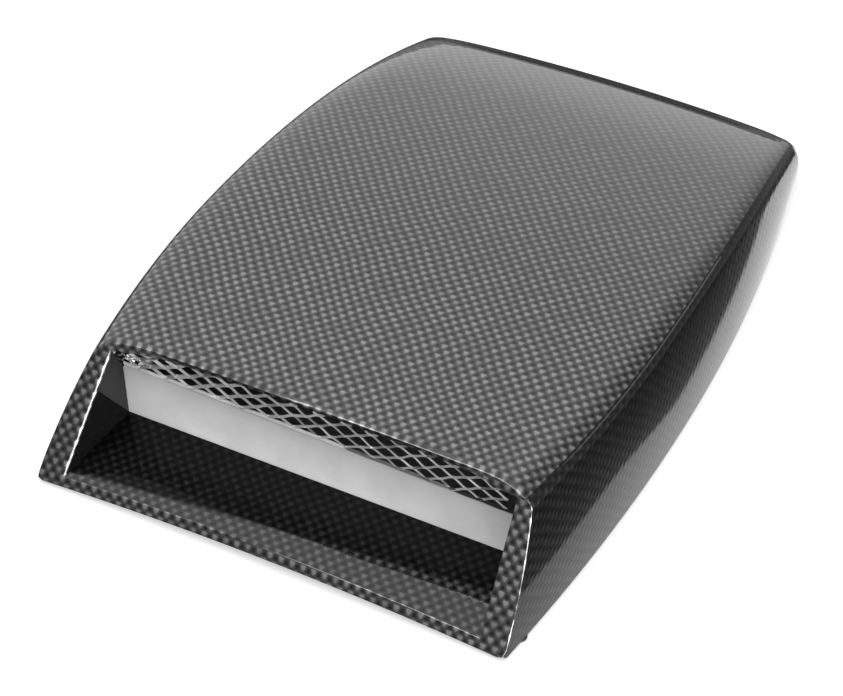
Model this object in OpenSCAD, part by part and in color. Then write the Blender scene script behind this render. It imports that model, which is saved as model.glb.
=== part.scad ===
// Stick-on bonnet vent: a low moulded scoop with a raked mouth at the front,
// an expanded metal insert in its throat and foam mounting tape under its rim.
// +X is to the right, +Y runs from the mouth to the rear and +Z is up.
// The origin is the middle of the base, on the face that the tape rests on.

/* [Base outline] */
// Length from the front lip to the middle of the rear edge
body_len = 352; // [280:1:420]
// Width over the base at the front lip
front_w = 218; // [180:1:236]
// Width over the base where it is widest
mid_w = 240.5; // [236:0.5:270]
// Width over the base at the rear corners
rear_w = 197; // [170:1:230]
// Distance of the widest place behind the front lip
widest_at = 152; // [120:1:180]
// How far the rear edge bows out between its corners
rear_bow = 7; // [0:0.5:12]
// Radius of the rear corners on the base outline
corner_r = 10.5; // [10.5:0.5:24]

/* [Roof] */
// Height of the crown of the roof above the mouth
roof_h = 50.5; // [44:0.5:64]
// Height of the crown of the roof at the rear edge
rear_h = 13.5; // [12:0.5:30]
// How late the roof starts to fall towards the rear
fall_power = 3.6; // [2:0.1:4.5]
// Width between the shoulder creases at the mouth
crease_front_w = 202.5; // [180:0.5:207]
// Width between the shoulder creases where they are widest
crease_mid_w = 221; // [208:0.5:230]
// Width between the shoulder creases at the rear
crease_rear_w = 194; // [168:1:206]
// Distance of the widest place of the creases behind the front lip
crease_widest_at = 154; // [130:1:190]
// How far a crease lies below the crown at the mouth
shoulder_drop_front = 4.6; // [2.6:0.2:8]
// How far a crease lies below the crown at the rear
shoulder_drop_rear = 3; // [1.6:0.2:5]
// Size of the rounding along a side crease
crease_round = 3; // [1.5:0.5:5]
// Size of the roll-over along the rear edge
rear_round = 7.5; // [4:0.5:8]

/* [Wall] */
// Thickness of the moulding
wall_t = 2.5; // [1.8:0.1:3.5]
// How far the side walls bulge out between crease and base
wall_bulge = 1.5; // [0:0.25:4]
// Width of the flat rim that carries the tape
rim_w = 9; // [7:0.5:10]
// Thickness of the flat rim
rim_t = 2.2; // [1.6:0.1:3.5]

/* [Mouth] */
// How far the roof's front edge is set back behind the lip
mouth_set = 45.5; // [38:0.5:54]
// Height of the lip at the foot of the mouth
lip_h = 3.4; // [2.6:0.1:6]
// How far the lip arches up in the middle
lip_arch = 2.2; // [0:0.1:4]
// Width of a post of the mouth frame at its foot
post_foot_w = 12; // [8:0.5:16]
// Width of a post of the mouth frame at its head
post_head_w = 7.5; // [5.5:0.5:10]
// Height of the rear edge of the throat floor
floor_rear_h = 7.4; // [5:0.1:14]
// How far the insert stands behind the roof's front edge
insert_back = 1; // [0.5:0.1:6]
// How far each throat wall leans in from the mouth to the insert
throat_taper = 2.7; // [0:0.1:5]

/* [Insert] */
// Thickness of the expanded metal sheet
sheet_t = 0.8; // [0.5:0.1:1.5]
// Height of the plain margin seen above the throat floor
margin_h = 26.5; // [10:0.5:28]
// How far the insert's rows lean up towards the left, as it was stuck in, in degrees
insert_lean = 1.5; // [0:0.1:3]
// Length of one diamond of the mesh
mesh_pitch = 12.2; // [8:0.1:18]
// Height of one diamond of the mesh
mesh_rise = 7.6; // [5:0.1:11]
// Width of a strand of the mesh
strand_w = 1.1; // [0.7:0.1:1.8]
// How far the insert reaches behind the throat's rear edges
insert_lap = 2; // [1:0.1:3]

/* [Tape] */
// Thickness of the foam tape
tape_t = 1.1; // [0.8:0.1:2]
// Distance of the side strips behind the front lip
tape_start = 14; // [8:1:30]
// Distance of the tape from the outer edge of the rim
tape_inset = 0.8; // [0.3:0.1:1.5]
// Distance of the tape from the inner edge of the rim
tape_margin = 0.7; // [0.3:0.1:2]

/* [Hidden] */
// Rows along one side of the body, rows round a rear corner and columns across the roof
side_rows = 26;
corner_rows = 5;
roof_cols = 24;
rows = side_rows + corner_rows;
// Steps of the rounding at the crease and of the wall below it
round_steps = 3;
wall_steps = 5;
// Rounding of the roof's corners in plan
crease_r = corner_r - 1.5;
// Clearance of the insert below the roof
seat = 0.3;
// Small step where the throat starts behind the edge of the mouth frame
step_in = 0.3;
// Thickness of the throat's walls and floor
throat_t = 2;
// Depth of the throat behind the lip, up to the insert
throat_d = mouth_set + insert_back;
// Width of the foam tape
tape_w = rim_w - tape_inset - tape_margin;
// Slope of the mouth plane: run to the rear for each millimetre of height
rake = mouth_set / roof_h;
rake_deg = atan(rake);

// Half width of a bowed outline at distance d behind the lip
function bowed(d, near, peak, far, near_at, peak_at, far_at) =
    d < peak_at
    ? peak - (peak - near) * pow((peak_at - d) / (peak_at - near_at), 2)
    : peak - (peak - far) * pow((d - peak_at) / (far_at - peak_at), 2);
function base_hw(d) = bowed(d, front_w, mid_w, rear_w, 0, widest_at, body_len - rear_bow) / 2;
function crease_hw(d) = bowed(d, crease_front_w, crease_mid_w, crease_rear_w,
                              mouth_set, crease_widest_at, body_len - rear_bow) / 2;

// The crown line, the drop to the crease and the whole roof
function crown_z(d) = roof_h - (roof_h - rear_h) * pow(max(d, 0) / body_len, fall_power);
function drop(d) = shoulder_drop_front + (shoulder_drop_rear - shoulder_drop_front) * d / body_len;
function shoulder(u) = 0.13 * pow(u, 2) + 0.87 * pow(u, 14);
function roof_z(x, d) = crown_z(d) - drop(d) * shoulder(min(abs(x) / crease_hw(d), 1.02));

// A plan outline by row r: half width and distance along a side, then round a rear corner.
// first is the distance of row 0, in_x and in_y draw the outline in, hw picks the outline.
function side_end(radius) = body_len - rear_bow - radius;
function outline_hw(d, on_base) = on_base ? base_hw(d) : crease_hw(d);
function row_turn(r) = 90 * (r - side_rows) / corner_rows;
function row_d(r, first, radius, in_y) = r <= side_rows
    ? first + (side_end(radius) - first) * r / side_rows
    : side_end(radius) + (radius - in_y) * sin(row_turn(r));
function row_x(r, first, radius, in_x, on_base) = r <= side_rows
    ? outline_hw(row_d(r, first, radius, 0), on_base) - in_x
    : outline_hw(side_end(radius), on_base) - radius + (radius - in_x) * cos(row_turn(r));

// Columns across the roof, closer together near the shoulders
function col_u(c) = let (v = 2 * c / roof_cols - 1) sign(v) * (1 - pow(1 - abs(v), 1.5));

// Rows start on the raked mouth plane; the crown is further back than the crease there
crease_first = rake * (roof_h - shoulder_drop_front);
function row_back(r, u) =
    rake * shoulder_drop_front * (1 - shoulder(abs(u))) * pow(1 - r / rows, 3)
    + rear_bow * (1 - u * u) * pow(r / rows, 2);

// A point of the roof: row r, column position u, depth t under the outer face
function roof_pt(r, u, t) =
    let (x = u * row_x(r, crease_first, crease_r, max(crease_round, t + 0.8), false),
         d = row_d(r, crease_first, crease_r, rear_round) + row_back(r, u))
    [x, d, roof_z(x, d) - t];

// The edge goes down the left side, along the rear and up the right side: k counts along it
edge_n = 2 * (rows + 1) + roof_cols - 1;
function edge_row(k) = k <= rows ? k : k >= edge_n - rows - 1 ? edge_n - 1 - k : rows;
function edge_u(k) = k <= rows ? -1 : k >= edge_n - rows - 1 ? 1 : col_u(k - rows);

// Sharp crease and base points of the edge, drawn in by t
function crease_pt(k, t) =
    let (r = edge_row(k), u = edge_u(k),
         x = u * row_x(r, crease_first, crease_r, t, false),
         d = row_d(r, crease_first, crease_r, t) + row_back(r, u))
    [x, d, roof_z(x, d) - t];
function base_pt(k, t, z) =
    let (r = edge_row(k), u = edge_u(k),
         x = u * row_x(r, 0, corner_r, t, true),
         d = row_d(r, 0, corner_r, t) + rear_bow * (1 - u * u) * pow(r / rows, 2))
    [x, d, z];
function wall_pt(k, v, t, z) =
    let (c = crease_pt(k, t), b = base_pt(k, t, z), s = 4 * v * (1 - v) * wall_bulge,
         n = [b[0], 0, 0] / max(norm([b[0], 0, 0]), 1))
    c + (b - c) * v + n * s * (edge_row(k) <= side_rows ? 1 : 0.3);
function lead(k, t) = let (c = crease_pt(k, t), b = wall_pt(k, 1, t, 0))
    min(0.45, (crease_round + (edge_row(k) > side_rows ? rear_round - crease_round : 0)) / norm(b - c));
function edge_pt(k, step, t, z) =
    let (a = roof_pt(edge_row(k), edge_u(k), t), c = crease_pt(k, t),
         v0 = lead(k, t), w = wall_pt(k, v0, t, z), s = step / round_steps)
    step < round_steps
    ? a * pow(1 - s, 2) + c * 2 * s * (1 - s) + w * s * s
    : wall_pt(k, v0 + (1 - v0) * (step - round_steps) / wall_steps, t, z);
edge_steps = round_steps + wall_steps;

// Points of one face of the moulding: the roof grid and then the edge rings under it
function roof_grid(t) = [for (r = [0:rows]) for (c = [0:roof_cols]) roof_pt(r, col_u(c), t)];
function edge_rings(t, z) = [for (s = [1:edge_steps]) for (k = [0:edge_n - 1]) edge_pt(k, s, t, z)];
grid_n = (rows + 1) * (roof_cols + 1);
face_n = grid_n + edge_steps * edge_n;
function grid_at(r, c) = r * (roof_cols + 1) + c;
// Ring 0 is the rim of the roof grid
function ring_at(s, k) = s > 0
    ? grid_n + (s - 1) * edge_n + k
    : grid_at(edge_row(k), k <= rows ? 0 : k >= edge_n - rows - 1 ? roof_cols : k - rows);
function quad(a, b, c, d) = [[a, b, c], [a, c, d]];
function flip(faces) = [for (f = faces) [f[2], f[1], f[0]]];
function face_quads(at) = concat(
    [for (r = [0:rows - 1]) for (c = [0:roof_cols - 1])
        each quad(at + grid_at(r, c), at + grid_at(r + 1, c), at + grid_at(r + 1, c + 1), at + grid_at(r, c + 1))],
    [for (s = [0:edge_steps - 1]) for (k = [0:edge_n - 2])
        each quad(at + ring_at(s, k), at + ring_at(s + 1, k), at + ring_at(s + 1, k + 1), at + ring_at(s, k + 1))]);
// The front edge of one face, from the left base over the roof to the right base
function front_path(at) = concat(
    [for (s = [edge_steps:-1:1]) at + ring_at(s, 0)],
    [for (c = [0:roof_cols]) at + grid_at(0, c)],
    [for (s = [1:edge_steps]) at + ring_at(s, edge_n - 1)]);

// Roof, walls and flat rim as one closed skin, open at the mouth and underneath
module housing() {
    rim_low = [for (k = [0:edge_n - 1]) base_pt(k, rim_w, 0)];
    rim_top = [for (k = [0:edge_n - 1]) base_pt(k, rim_w, rim_t)];
    points = concat(roof_grid(0), edge_rings(0, 0), roof_grid(wall_t), edge_rings(wall_t, rim_t), rim_low, rim_top);
    inner = face_n;
    low = 2 * face_n;
    top = low + edge_n;
    out_path = front_path(0);
    in_path = front_path(inner);
    faces = concat(
        face_quads(0),
        flip(face_quads(inner)),
        [for (k = [0:edge_n - 2]) each quad(ring_at(edge_steps, k), low + k, low + k + 1, ring_at(edge_steps, k + 1))],
        [for (k = [0:edge_n - 2]) each quad(low + k, top + k, top + k + 1, low + k + 1)],
        [for (k = [0:edge_n - 2])
            each quad(top + k, inner + ring_at(edge_steps, k), inner + ring_at(edge_steps, k + 1), top + k + 1)],
        [for (n = [0:len(out_path) - 2]) each quad(out_path[n], out_path[n + 1], in_path[n + 1], in_path[n])],
        quad(out_path[0], in_path[0], top, low),
        flip(quad(ring_at(edge_steps, edge_n - 1), inner + ring_at(edge_steps, edge_n - 1),
                  top + edge_n - 1, low + edge_n - 1)));
    polyhedron(points, faces, convexity = 8);
}

// The mouth frame lies in the raked mouth plane: two posts and the lip
post_head_x = crease_front_w / 2 - post_head_w;
post_foot_x = front_w / 2 - post_foot_w;
head_z = roof_z(post_head_x, mouth_set) - wall_t;
// Height of the arched lip above its own ends
function lip_rise(x) = lip_arch * (1 - pow(2 * x / front_w, 2));
module mouth_frame() {
    slope = 1 / cos(rake_deg);
    hide = 0.6;
    arch_steps = 12;
    outer = [for (s = [edge_steps:-1:1])
        let (p = edge_pt(edge_n - 1, s, 0, 0)) [p[0] - hide, p[2] * slope - (s < 3 ? hide : 0)]];
    right = concat(outer, [[post_head_x, (head_z + wall_t - hide) * slope]]);
    left = [for (i = [len(right) - 1:-1:0]) [-right[i][0], right[i][1]]];
    foot = front_w / 2 - 6;
    lower = [for (i = [0:arch_steps]) let (x = foot * (2 * i / arch_steps - 1)) [x, lip_rise(x) * slope]];
    upper = [for (i = [0:arch_steps])
        let (x = post_foot_x * (2 * i / arch_steps - 1)) [x, (lip_h + lip_rise(x)) * slope]];
    intersection() {
        rotate([90 - rake_deg, 0, 0])
            translate([0, 0, -wall_t])
                linear_extrude(wall_t)
                    difference() {
                        polygon(concat(lower, right, left));
                        polygon(concat(upper, [[post_head_x, (head_z + 20) * slope], [-post_head_x, (head_z + 20) * slope]]));
                    }
        translate([-front_w, -roof_h, 0])
            cube([2 * front_w, 3 * roof_h, 2 * roof_h]);
    }
}

// The throat starts a small step behind the frame's front face and runs back to the insert
throat_foot_x = post_foot_x - throat_taper * 2;
throat_head_x = post_head_x - throat_taper * 0.5;
start = wall_t / 2;
module throat_floor() {
    steps = 12;
    half_front = post_foot_x + throat_t * 0.6;
    half_rear = throat_foot_x + throat_t * 0.6;
    us = [for (i = [0:steps]) 2 * i / steps - 1];
    front = [for (u = us) let (x = u * half_front, z = lip_h + lip_rise(x) - step_in) [x, rake * z + start, z]];
    rear = [for (u = us) [u * half_rear, throat_d, floor_rear_h]];
    down = [0, 0, -throat_t];
    points = concat(front, rear, [for (p = front) p + down], [for (p = rear) p + down]);
    n = steps + 1;
    polyhedron(points, concat(
        [for (i = [0:steps - 1]) each quad(i, n + i, n + i + 1, i + 1)],
        [for (i = [0:steps - 1]) each quad(2 * n + i, 2 * n + i + 1, 3 * n + i + 1, 3 * n + i)],
        [for (i = [0:steps - 1]) each quad(i, i + 1, 2 * n + i + 1, 2 * n + i)],
        [for (i = [0:steps - 1]) each quad(n + i, 3 * n + i, 3 * n + i + 1, n + i + 1)],
        quad(0, 2 * n, 3 * n, n),
        quad(steps, n + steps, 3 * n + steps, 2 * n + steps)));
}
module throat_wall() {
    sink = 1.4;
    foot_z = lip_h + lip_rise(post_foot_x) - step_in;
    front_z = head_z + 0.3;
    a = [post_foot_x + step_in, rake * foot_z + start, foot_z - sink];
    b = [throat_foot_x, throat_d, floor_rear_h - sink];
    c = [throat_head_x, throat_d, head_z + 1];
    d = [post_head_x + step_in, rake * front_z + start, front_z];
    out = [throat_t, 0, 0];
    polyhedron([a, b, c, d, a + out, b + out, c + out, d + out],
        [[0, 1, 2], [0, 2, 3], [4, 6, 5], [4, 7, 6], [0, 4, 5], [0, 5, 1], [1, 5, 6], [1, 6, 2],
         [2, 6, 7], [2, 7, 3], [3, 7, 4], [3, 4, 0]]);
}

module scoop_shell() {
    color("#35373a")
        translate([0, -body_len / 2, tape_t]) {
            housing();
            mouth_frame();
            throat_floor();
            throat_wall();
            mirror([1, 0, 0]) throat_wall();
        }
}

// The insert: a plain margin below and rows of diamonds above
insert_hw = throat_head_x + insert_lap;
insert_low = floor_rear_h - throat_t;
mesh_low = floor_rear_h + margin_h;
module diamond() {
    polygon([[-mesh_pitch / 2 + strand_w * 1.4, 0], [-mesh_pitch * 0.12, -mesh_rise / 2 + strand_w * 0.62],
             [mesh_pitch * 0.12, -mesh_rise / 2 + strand_w * 0.62], [mesh_pitch / 2 - strand_w * 1.4, 0],
             [mesh_pitch * 0.12, mesh_rise / 2 - strand_w * 0.62], [-mesh_pitch * 0.12, mesh_rise / 2 - strand_w * 0.62]]);
}
module mesh_grille() {
    top_steps = 16;
    edge_in = 3;
    function top_z(x) = roof_z(x, throat_d) - wall_t - seat;
    top = [for (i = [0:top_steps]) let (x = insert_hw * (1 - 2 * i / top_steps)) [x, top_z(x)]];
    rows_up = ceil((roof_h - mesh_low) / (mesh_rise / 2));
    cells = ceil(insert_hw / mesh_pitch);
    color("#c9cbcc")
        translate([0, throat_d + sheet_t - body_len / 2, tape_t])
            rotate([90, 0, 0])
                linear_extrude(sheet_t)
                    difference() {
                        polygon(concat([[-insert_hw, insert_low], [insert_hw, insert_low]], top));
                        intersection() {
                            translate([0, mesh_low])
                                rotate(-insert_lean)
                                    for (row = [0:rows_up])
                                        for (i = [-cells:cells])
                                            translate([(i + (row % 2) / 2) * mesh_pitch,
                                                       strand_w + (row + 1) * mesh_rise / 2])
                                                diamond();
                            polygon(concat([[-insert_hw + edge_in, insert_low], [insert_hw - edge_in, insert_low]],
                                           [for (p = top) [p[0] * (1 - edge_in / insert_hw), p[1] - edge_in / 3]]));
                        }
                    }
}

// Foam tape: a strip along each side and one along the rear
module side_tape(side) {
    steps = 24;
    end = body_len - rear_bow - corner_r - 6;
    function strip(inset) = [for (i = [0:steps])
        let (d = tape_start + (end - tape_start) * i / steps) [side * (base_hw(d) - inset), d]];
    out = strip(tape_inset);
    inn = strip(tape_inset + tape_w);
    color("#1c1c1e")
        translate([0, -body_len / 2, 0])
            linear_extrude(tape_t)
                polygon(concat(out, [for (i = [steps:-1:0]) inn[i]]));
}
module tape_left() {
    side_tape(-1);
}
module tape_right() {
    side_tape(1);
}
module tape_rear() {
    steps = 16;
    half = base_hw(body_len - rear_bow) - corner_r - 4;
    function strip(inset) = [for (i = [0:steps])
        let (x = half * (2 * i / steps - 1),
             u = x / (base_hw(side_end(corner_r)) - corner_r))
        [x, body_len - rear_bow - inset + rear_bow * (1 - u * u)]];
    out = strip(tape_inset);
    inn = strip(tape_inset + tape_w);
    color("#1c1c1e")
        translate([0, -body_len / 2, 0])
            linear_extrude(tape_t)
                polygon(concat(out, [for (i = [steps:-1:0]) inn[i]]));
}

scoop_shell();
mesh_grille();
tape_left();
tape_right();
tape_rear();
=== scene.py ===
import math

import bpy
import numpy as np
from mathutils import Matrix, Vector


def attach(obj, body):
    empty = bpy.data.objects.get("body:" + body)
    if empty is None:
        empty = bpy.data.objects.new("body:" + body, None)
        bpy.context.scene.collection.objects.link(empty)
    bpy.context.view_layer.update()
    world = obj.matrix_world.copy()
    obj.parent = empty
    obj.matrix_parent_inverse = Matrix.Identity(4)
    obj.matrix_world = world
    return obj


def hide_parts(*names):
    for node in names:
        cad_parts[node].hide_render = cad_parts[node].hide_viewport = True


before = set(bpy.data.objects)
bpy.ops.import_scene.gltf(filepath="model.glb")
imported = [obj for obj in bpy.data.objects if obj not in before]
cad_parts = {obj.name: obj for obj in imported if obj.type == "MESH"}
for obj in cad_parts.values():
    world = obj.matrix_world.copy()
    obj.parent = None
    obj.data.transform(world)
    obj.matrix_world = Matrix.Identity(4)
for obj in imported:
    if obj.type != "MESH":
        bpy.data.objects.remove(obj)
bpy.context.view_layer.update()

rng = np.random.default_rng(7)

# Sizes, in millimetres, as in the part's source
BODY_LEN = 352.0
FRONT_W, MID_W, REAR_W, WIDEST_AT, REAR_BOW, CORNER_R = 218.0, 240.5, 197.0, 152.0, 7.0, 10.5
ROOF_H, REAR_H, FALL = 50.5, 13.5, 3.6
CREASE_FRONT_W, CREASE_MID_W, CREASE_REAR_W, CREASE_AT = 202.5, 221.0, 194.0, 154.0
DROP_FRONT, DROP_REAR = 4.6, 3.0
SIDE_ROUND, REAR_ROUND = 3.0, 7.5
WALL_T, BULGE, RIM_W, RIM_T = 2.5, 1.5, 9.0, 2.2
MOUTH_SET, LIP_H, LIP_ARCH, POST_FOOT, POST_HEAD = 45.5, 3.4, 2.2, 12.0, 7.5
FLOOR_REAR_H, THROAT_D, THROAT_TAPER, THROAT_T = 7.4, 46.5, 2.7, 2.0
TAPE_T = 1.1
# The insert: MESH_CLIMB is how far the cells' border climbs to the left, per millimetre
SHEET_T, MARGIN_H, MESH_CLIMB = 0.8, 26.5, 0.026
SHOULDER_SHARE, SHOULDER_POWER = 0.13, 14

RAKE = MOUTH_SET / ROOF_H
SLOPE = math.hypot(1.0, RAKE)
CREASE_R = CORNER_R - 1.5
# Grid density: rows along the sides and round the rear corners, columns across, steps down the walls
SIDE_ROWS, CORNER_ROWS, COLS, ROUND_STEPS, WALL_STEPS = 150, 14, 120, 8, 14
ROWS = SIDE_ROWS + CORNER_ROWS
EDGE_STEPS = ROUND_STEPS + WALL_STEPS


def bowed(d, near, peak, far, near_at, peak_at, far_at):
    return np.where(d < peak_at,
                    peak - (peak - near) * ((peak_at - d) / (peak_at - near_at)) ** 2,
                    peak - (peak - far) * ((d - peak_at) / (far_at - peak_at)) ** 2)


def base_hw(d):
    return bowed(d, FRONT_W, MID_W, REAR_W, 0, WIDEST_AT, BODY_LEN - REAR_BOW) / 2


def crease_hw(d):
    return bowed(d, CREASE_FRONT_W, CREASE_MID_W, CREASE_REAR_W,
                 MOUTH_SET, CREASE_AT, BODY_LEN - REAR_BOW) / 2


def shoulder(u):
    return SHOULDER_SHARE * u ** 2 + (1 - SHOULDER_SHARE) * np.abs(u) ** SHOULDER_POWER


def roof_z(x, d):
    crown = ROOF_H - (ROOF_H - REAR_H) * (np.maximum(d, 0) / BODY_LEN) ** FALL
    drop = DROP_FRONT + (DROP_REAR - DROP_FRONT) * d / BODY_LEN
    return crown - drop * shoulder(np.minimum(np.abs(x) / crease_hw(d), 1.02))


def side_end(radius):
    return BODY_LEN - REAR_BOW - radius


def row_turn(r):
    return np.radians(90 * np.maximum(r - SIDE_ROWS, 0) / CORNER_ROWS)


def row_d(r, first, radius, in_y):
    end = side_end(radius)
    return np.where(r <= SIDE_ROWS, first + (end - first) * r / SIDE_ROWS,
                    end + (radius - in_y) * np.sin(row_turn(r)))


def row_x(r, first, radius, in_x, hw):
    return np.where(r <= SIDE_ROWS, hw(row_d(r, first, radius, 0)) - in_x,
                    hw(side_end(radius)) - radius + (radius - in_x) * np.cos(row_turn(r)))


def col_u(c):
    v = 2 * c / COLS - 1
    return np.sign(v) * (1 - (1 - np.abs(v)) ** 1.5)


CREASE_FIRST = RAKE * (ROOF_H - DROP_FRONT)


def row_back(r, u):
    return (RAKE * DROP_FRONT * (1 - shoulder(u)) * (1 - r / ROWS) ** 3
            + REAR_BOW * (1 - u * u) * (r / ROWS) ** 2)


def roof_pt(r, u, t=0.0):
    x = u * row_x(r, CREASE_FIRST, CREASE_R, max(SIDE_ROUND, t + 0.8), crease_hw)
    d = row_d(r, CREASE_FIRST, CREASE_R, REAR_ROUND) + row_back(r, u)
    return np.stack([x, d, roof_z(x, d) - t], -1)


def crease_pt(r, u, t=0.0):
    x = u * row_x(r, CREASE_FIRST, CREASE_R, t, crease_hw)
    d = row_d(r, CREASE_FIRST, CREASE_R, t) + row_back(r, u)
    return np.stack([x, d, roof_z(x, d) - t], -1)


def base_pt(r, u, t=0.0, z=0.0):
    x = u * row_x(r, 0, CORNER_R, t, base_hw)
    d = row_d(r, 0, CORNER_R, t) + REAR_BOW * (1 - u * u) * (r / ROWS) ** 2
    return np.stack([x, d, z + 0 * x], -1)


def wall_pt(r, u, v, t=0.0, z=0.0):
    c, b = crease_pt(r, u, t), base_pt(r, u, t, z)
    n = b * [1, 0, 0] / np.maximum(np.abs(b[..., :1]), 1)
    v = np.asarray(v, float)[..., None]
    k = np.where(r <= SIDE_ROWS, 1.0, 0.3)[..., None]
    return c + (b - c) * v + n * 4 * v * (1 - v) * BULGE * k


def lead(r, u, t):
    c, b = crease_pt(r, u, t), wall_pt(r, u, np.ones_like(u), t, 0.0)
    size = SIDE_ROUND + np.where(r > SIDE_ROWS, REAR_ROUND - SIDE_ROUND, 0)
    return np.minimum(0.45, size / np.linalg.norm(b - c, axis=-1))


# The roof's rim as one line: back along the left side, across the rear and forward along the right side
EDGE_N = 2 * (ROWS + 1) + COLS - 1
EDGE_K = np.arange(EDGE_N)
IS_LEFT, IS_RIGHT = EDGE_K <= ROWS, EDGE_K >= EDGE_N - ROWS - 1
EDGE_R = np.where(IS_LEFT, EDGE_K, np.where(IS_RIGHT, EDGE_N - 1 - EDGE_K, ROWS)).astype(float)
EDGE_U = np.where(IS_LEFT, -1.0, np.where(IS_RIGHT, 1.0, col_u(np.clip(EDGE_K - ROWS, 0, COLS))))


def edge_rings(t=0.0, z=0.0):
    """Rings from the roof's rim (0) down to the base: an array of steps, edge positions and xyz."""
    r, u = EDGE_R, EDGE_U
    a, c = roof_pt(r, u, t), crease_pt(r, u, t)
    v0 = lead(r, u, t)
    w = wall_pt(r, u, v0, t, z)
    out = [a]
    for step in range(1, EDGE_STEPS + 1):
        q = step / ROUND_STEPS
        if step < ROUND_STEPS:
            out.append(a * (1 - q) ** 2 + c * 2 * q * (1 - q) + w * q * q)
        else:
            out.append(wall_pt(r, u, v0 + (1 - v0) * (step - ROUND_STEPS) / WALL_STEPS, t, z))
    return np.array(out)


def roof_grid(t=0.0):
    r = np.arange(ROWS + 1)[:, None] + np.zeros(COLS + 1)[None]
    u = col_u(np.arange(COLS + 1))[None] + 0 * r
    return roof_pt(r, u, t)


# Mesh helper
class Skin:
    """Collects grids of points with weave coordinates, then welds them into one mesh."""

    def __init__(self):
        self.points, self.uvs, self.faces, self.mats, self.count = [], [], [], [], 0

    def grid(self, p, uv, mat=0, flip=False):
        p, uv = np.asarray(p, float), np.asarray(uv, float)
        m, n = p.shape[:2]
        i = np.arange(m * n).reshape(m, n) + self.count
        f = np.stack([i[:-1, :-1], i[1:, :-1], i[1:, 1:], i[:-1, 1:]], -1).reshape(-1, 4)
        if flip:
            f = f[:, ::-1]
        self.points.append(p.reshape(-1, 3))
        self.uvs.append(uv.reshape(-1, 2))
        self.faces.append(f)
        self.mats.append(np.broadcast_to(mat, (m - 1, n - 1)).ravel())
        self.count += m * n

    def build(self, name, materials, smooth_angle=35.0, weld=0.004):
        p = np.concatenate(self.points)
        uv = np.concatenate(self.uvs)
        f = np.concatenate(self.faces)
        mats = np.concatenate(self.mats)
        key = np.round(p / weld).astype(np.int64)
        _, first, inv = np.unique(key, axis=0, return_index=True, return_inverse=True)
        inv = inv.ravel()
        welded = inv[f]
        ok = np.array([len(set(q)) >= 3 for q in welded])
        loops, sizes, loop_uv, poly_mat = [], [], [], []
        for q, g, m in zip(f[ok], welded[ok], mats[ok]):
            keep = [j for j in range(4) if g[j] != g[(j + 1) % 4]]
            loops += [int(g[j]) for j in keep]
            loop_uv += [uv[q[j]] for j in keep]
            sizes.append(len(keep))
            poly_mat.append(int(m))
        me = bpy.data.meshes.new(name)
        v = p[first].copy()
        v[:, 1] -= BODY_LEN / 2
        v[:, 2] += TAPE_T
        me.vertices.add(len(v))
        me.vertices.foreach_set("co", (v / 1000).ravel())
        me.loops.add(len(loops))
        me.loops.foreach_set("vertex_index", loops)
        me.polygons.add(len(sizes))
        starts = np.concatenate([[0], np.cumsum(sizes)[:-1]])
        me.polygons.foreach_set("loop_start", starts.astype(np.int32))
        me.polygons.foreach_set("loop_total", np.array(sizes, np.int32))
        me.polygons.foreach_set("material_index", np.array(poly_mat, np.int32))
        layer = me.uv_layers.new(name="weave")
        layer.data.foreach_set("uv", np.array(loop_uv, np.float32).ravel())
        me.update(calc_edges=True)
        me.validate()
        me.polygons.foreach_set("use_smooth", np.ones(len(me.polygons), bool))
        me.set_sharp_from_angle(angle=math.radians(smooth_angle))
        for m in materials:
            me.materials.append(m)
        o = bpy.data.objects.new(name, me)
        bpy.context.scene.collection.objects.link(o)
        return o


def bez(a, c, b, n):
    q = np.linspace(0, 1, n + 1)[:, None, None]
    return a[None] * (1 - q) ** 2 + c[None] * 2 * q * (1 - q) + b[None] * q * q


def unit(v):
    return v / np.maximum(np.linalg.norm(v, axis=-1, keepdims=True), 1e-9)


def along(p):
    """Length along the first axis of a grid of points."""
    s = np.linalg.norm(np.diff(p, axis=0), axis=-1)
    return np.concatenate([np.zeros((1,) + s.shape[1:]), np.cumsum(s, axis=0)])


# Materials
def new_material(name):
    m = bpy.data.materials.new(name)
    m.use_nodes = True
    nt = m.node_tree
    nt.nodes.clear()
    out = nt.nodes.new("ShaderNodeOutputMaterial")
    return m, nt, out


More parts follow.
